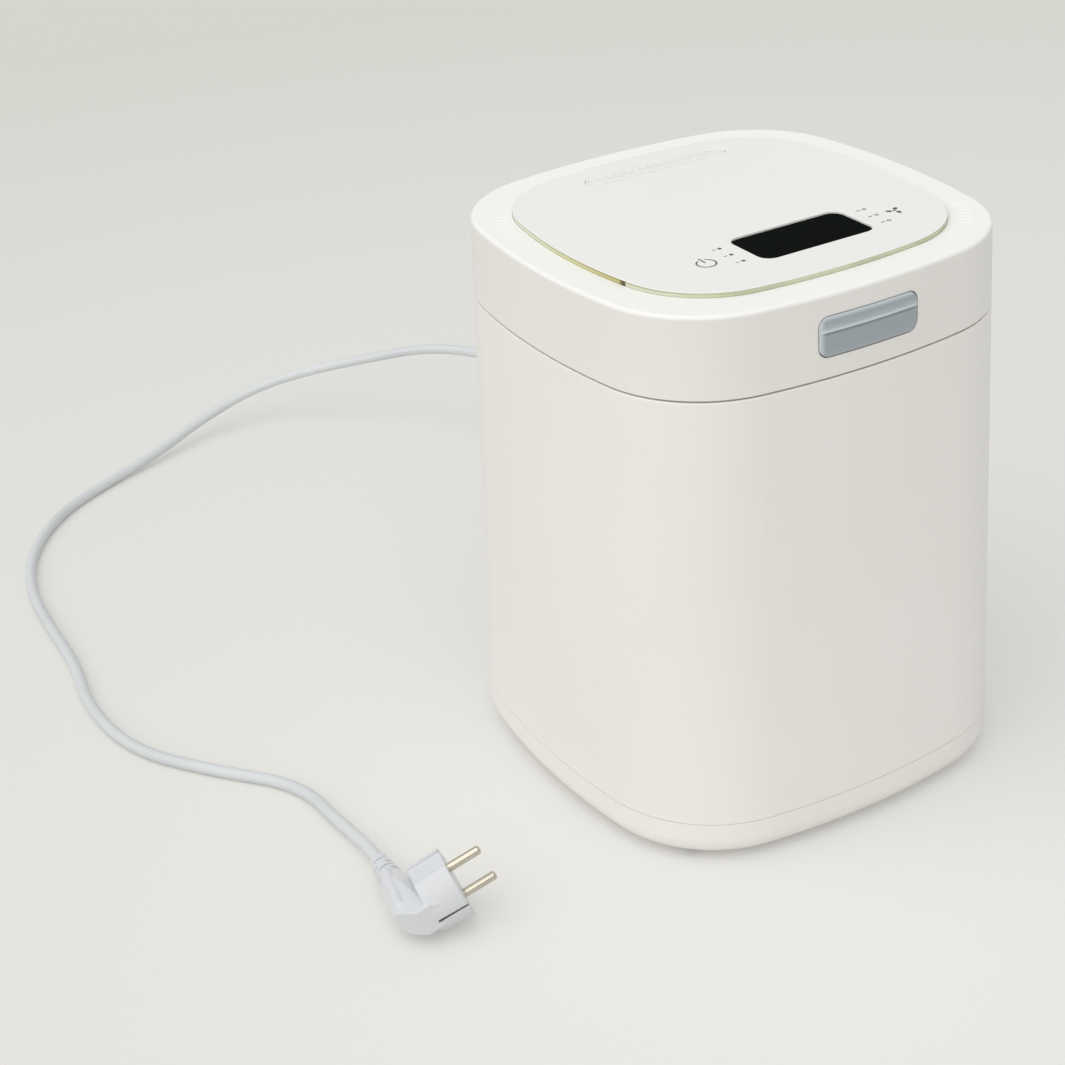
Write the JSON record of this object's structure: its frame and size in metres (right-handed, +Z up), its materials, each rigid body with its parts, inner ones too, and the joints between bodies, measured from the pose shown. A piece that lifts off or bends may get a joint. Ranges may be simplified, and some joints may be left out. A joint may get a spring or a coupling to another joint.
{
  "type": "electric food waste composter",
  "caption": "Countertop food waste composter with a hinged lid, press latch, touch panel, heated pot and geared agitator in a lift-out bucket, with a mains cord and angled plug.",
  "frame": {"origin": "on the floor under the middle of the bin's footprint, between the feet", "axes": "+Z up, -Y is the front with the latch button, +X is to the right seen from the front"},
  "size_m": [0.4467, 0.6781, 0.3142],
  "materials": {
    "white_body": "fine satin moulded white",
    "white_glass": "white back-painted glass with a pale green edge",
    "grey_plastic": "satin moulded grey",
    "grille_plastic": "satin moulded light grey",
    "button_grey": "semi-gloss blue grey",
    "display_black": "gloss dark window",
    "dark_rubber": "matt black rubber",
    "silicone_seal": "matt grey silicone",
    "screw_steel": "bright zinc plate",
    "pressed_steel": "brushed",
    "motor_steel": "drawn steel can",
    "bare_aluminium": "bare satin aluminium",
    "cast_agitator": "dark non-stick coating on a casting",
    "bucket_coating": "dark non-stick coating",
    "insulation_wool": "matt mineral wool",
    "gear_nylon": "natural nylon",
    "bush_plastic": "filled PTFE",
    "grip_plastic": "satin dark grey",
    "brass_fittings": "machined brass",
    "board_green": "solder mask",
    "component_black": "moulded black",
    "carbon_foam": "open carbon foam",
    "cord_white": "soft white PVC",
    "plug_white": "moulded white PVC",
    "nickel_pins": "bright nickel plate"
  },
  "bodies": {
    "housing": {"base_tray": "white_body", "rubber_feet": "dark_rubber", "base_screws": "screw_steel", "outer_housing": "white_body", "top_deck": "grey_plastic", "deck_screws": "screw_steel", "latch_striker": "pressed_steel", "heating_pot": "bare_aluminium", "heater_band": "pressed_steel", "insulation_sleeve": "insulation_wool", "temperature_sensor": "brass_fittings", "shaft_seal": "dark_rubber", "idler_pin": "pressed_steel", "gearbox_tub": "bare_aluminium", "gearbox_cover": "bare_aluminium", "gearbox_screws": "screw_steel", "shaft_bushes": "brass_fittings", "drive_motor": "motor_steel", "bucket": "bucket_coating", "bucket_bush": "bush_plastic", "breaker_bars": "cast_agitator", "bucket_grips": "grip_plastic", "power_board": "board_green", "board_components": "component_black", "board_screws": "screw_steel", "hinge_bracket": "white_body", "hinge_pin": "pressed_steel", "cord_gland": "cord_white", "power_cord": "cord_white", "plug_body": "plug_white", "plug_earth_clips": "brass_fittings", "plug_pins": "nickel_pins"},
    "lid": {"lid_shell": "white_body", "glass_panel": "white_glass", "vent_grille": "grille_plastic", "display_module": "display_black", "touch_board": "board_green", "lid_inner_cover": "grey_plastic", "lid_screws": "screw_steel", "filter_cover": "grey_plastic", "carbon_filter": "carbon_foam", "fan_housing": "component_black", "air_duct": "grey_plastic", "lid_seal": "silicone_seal", "latch_frame": "grey_plastic", "hook_pin": "pressed_steel", "latch_springs": "screw_steel"},
    "latch_button": {"latch_button": "button_grey"},
    "latch_hook": {"latch_hook": "grey_plastic"},
    "agitator": {"agitator": "cast_agitator", "agitator_shaft": "pressed_steel", "drive_dog": "pressed_steel", "drive_shaft": "pressed_steel", "output_gear": "gear_nylon"},
    "idler": {"compound_gear": "gear_nylon"},
    "motor_rotor": {"motor_pinion": "brass_fittings"},
    "fan_rotor": {"fan_rotor": "component_black"}
  },
  "joints": [
    {"name": "lid_hinge", "type": "hinge", "parent": "housing", "child": "lid", "pos_m": [0, 0.123, 0.2678], "axis": [-1, 0, 0], "range_deg": [0, 80]},
    {"name": "latch_press", "type": "slide", "parent": "lid", "child": "latch_button", "axis": [0, 1, 0], "range_m": [0, 0.0025], "stiffness_N_per_m": 600, "deforming": ["latch_springs"]},
    {"name": "latch_hook_pivot", "type": "hinge", "parent": "lid", "child": "latch_hook", "pos_m": [0, -0.11, 0.284], "axis": [-1, 0, 0], "range_deg": [0, 9.6]},
    {"name": "agitator_spin", "type": "hinge", "parent": "housing", "child": "agitator", "pos_m": [0, 0, 0.15], "axis": [0, 0, 1], "continuous": true},
    {"name": "idler_spin", "type": "hinge", "parent": "housing", "child": "idler", "pos_m": [-0.04677, 0.027, 0.07], "axis": [0, 0, 1], "continuous": true},
    {"name": "motor_spin", "type": "hinge", "parent": "housing", "child": "motor_rotor", "pos_m": [-0.05393, -0.01362, 0.07], "axis": [0, 0, 1], "continuous": true},
    {"name": "fan_spin", "type": "hinge", "parent": "lid", "child": "fan_rotor", "pos_m": [0, 0.045, 0.287], "axis": [0, 0, 1], "continuous": true}
  ],
  "couplings": [
    {"joint": "latch_hook_pivot", "follows": "latch_press", "rad_per_m": 66.667},
    {"joint": "idler_spin", "follows": "agitator_spin", "ratio": -3},
    {"joint": "motor_spin", "follows": "agitator_spin", "ratio": 8}
  ]
}
